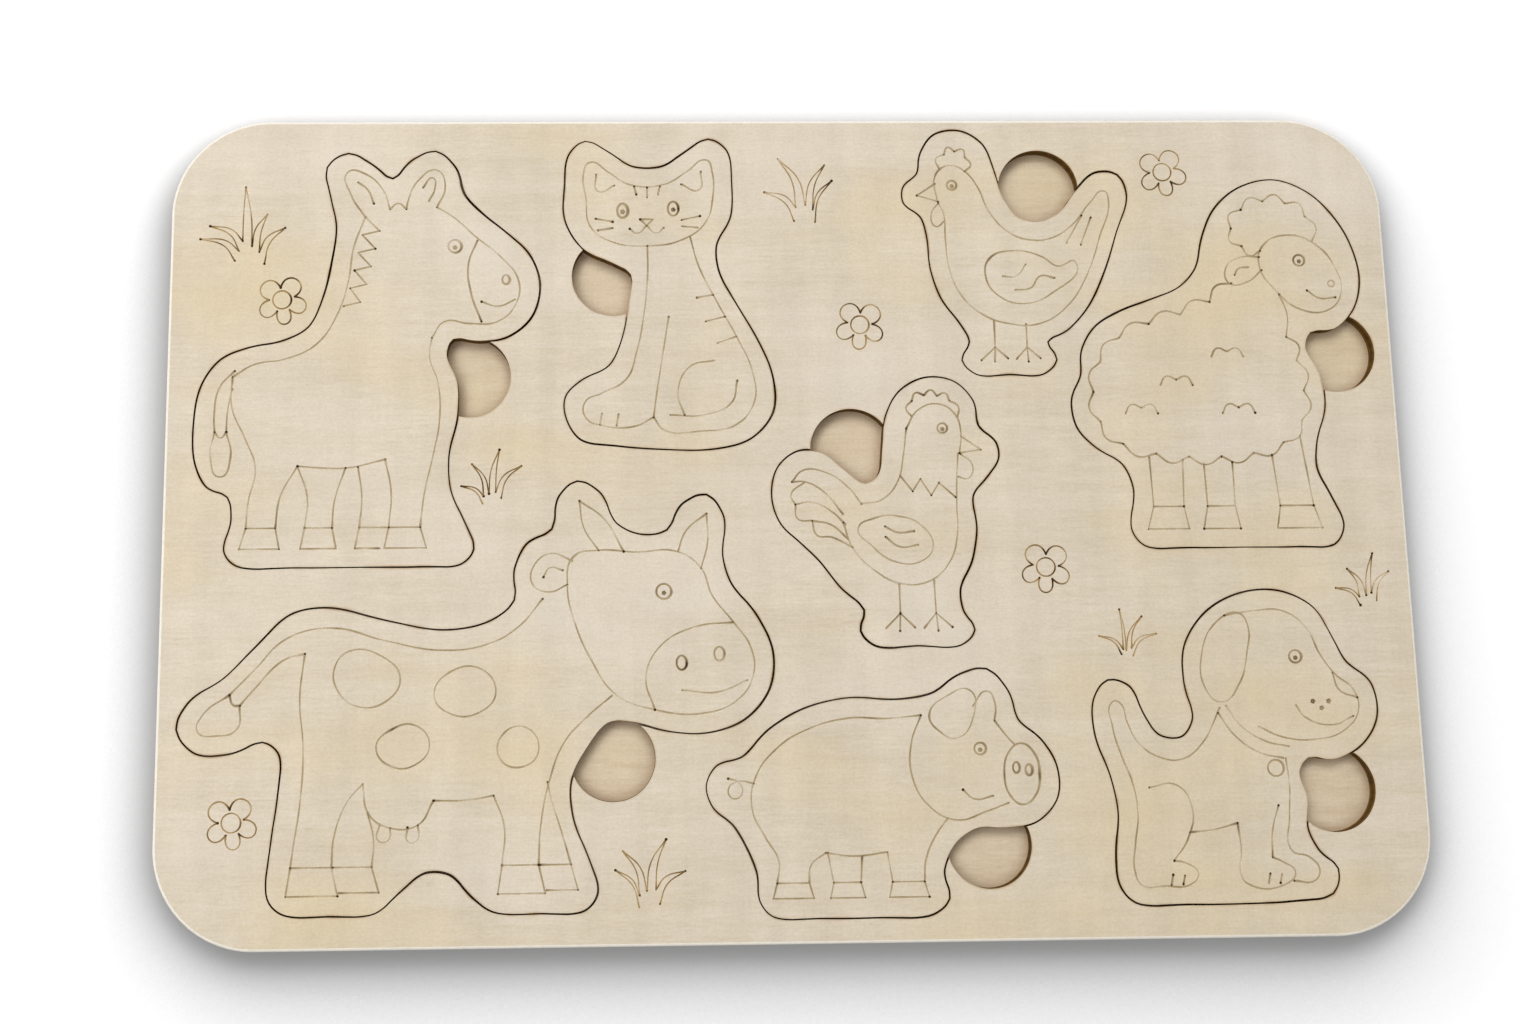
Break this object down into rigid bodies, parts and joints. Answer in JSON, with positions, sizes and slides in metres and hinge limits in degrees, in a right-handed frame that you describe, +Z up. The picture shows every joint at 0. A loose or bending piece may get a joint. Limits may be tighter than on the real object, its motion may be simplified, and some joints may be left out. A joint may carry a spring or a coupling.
{
  "type": "wooden animal puzzle",
  "caption": "Flat pale plywood tray puzzle: loose farm-animal pieces lift out of matching pockets, each with a round finger notch beside it.",
  "frame": {"origin": "centre of the underside of the backing board, on the surface that it rests on", "axes": "+X along the board to the player's right, +Y away from the player, +Z up out of the tray"},
  "size_m": [0.3, 0.2, 0.006],
  "materials": {
    "backing_plywood": "bare sanded plywood",
    "frame_plywood": "bare sanded plywood with burnt cut edges",
    "piece_plywood": "bare sanded plywood with burnt cut edges"
  },
  "bodies": {
    "tray": {"backing_board": "backing_plywood", "tray_frame": "frame_plywood"},
    "donkey_piece": {"donkey": "piece_plywood"},
    "cat_piece": {"cat": "piece_plywood"},
    "hen_piece": {"hen": "piece_plywood"},
    "sheep_piece": {"sheep": "piece_plywood"},
    "rooster_piece": {"rooster": "piece_plywood"},
    "cow_piece": {"cow": "piece_plywood"},
    "pig_piece": {"pig": "piece_plywood"},
    "dog_piece": {"dog": "piece_plywood"}
  },
  "joints": [
    {"name": "donkey_lift", "type": "slide", "parent": "tray", "child": "donkey_piece", "axis": [0, 0, 1], "range_m": [0, 0.03]},
    {"name": "cat_lift", "type": "slide", "parent": "tray", "child": "cat_piece", "axis": [0, 0, 1], "range_m": [0, 0.03]},
    {"name": "hen_lift", "type": "slide", "parent": "tray", "child": "hen_piece", "axis": [0, 0, 1], "range_m": [0, 0.03]},
    {"name": "sheep_lift", "type": "slide", "parent": "tray", "child": "sheep_piece", "axis": [0, 0, 1], "range_m": [0, 0.03]},
    {"name": "rooster_lift", "type": "slide", "parent": "tray", "child": "rooster_piece", "axis": [0, 0, 1], "range_m": [0, 0.03]},
    {"name": "cow_lift", "type": "slide", "parent": "tray", "child": "cow_piece", "axis": [0, 0, 1], "range_m": [0, 0.03]},
    {"name": "pig_lift", "type": "slide", "parent": "tray", "child": "pig_piece", "axis": [0, 0, 1], "range_m": [0, 0.03]},
    {"name": "dog_lift", "type": "slide", "parent": "tray", "child": "dog_piece", "axis": [0, 0, 1], "range_m": [0, 0.03]}
  ]
}
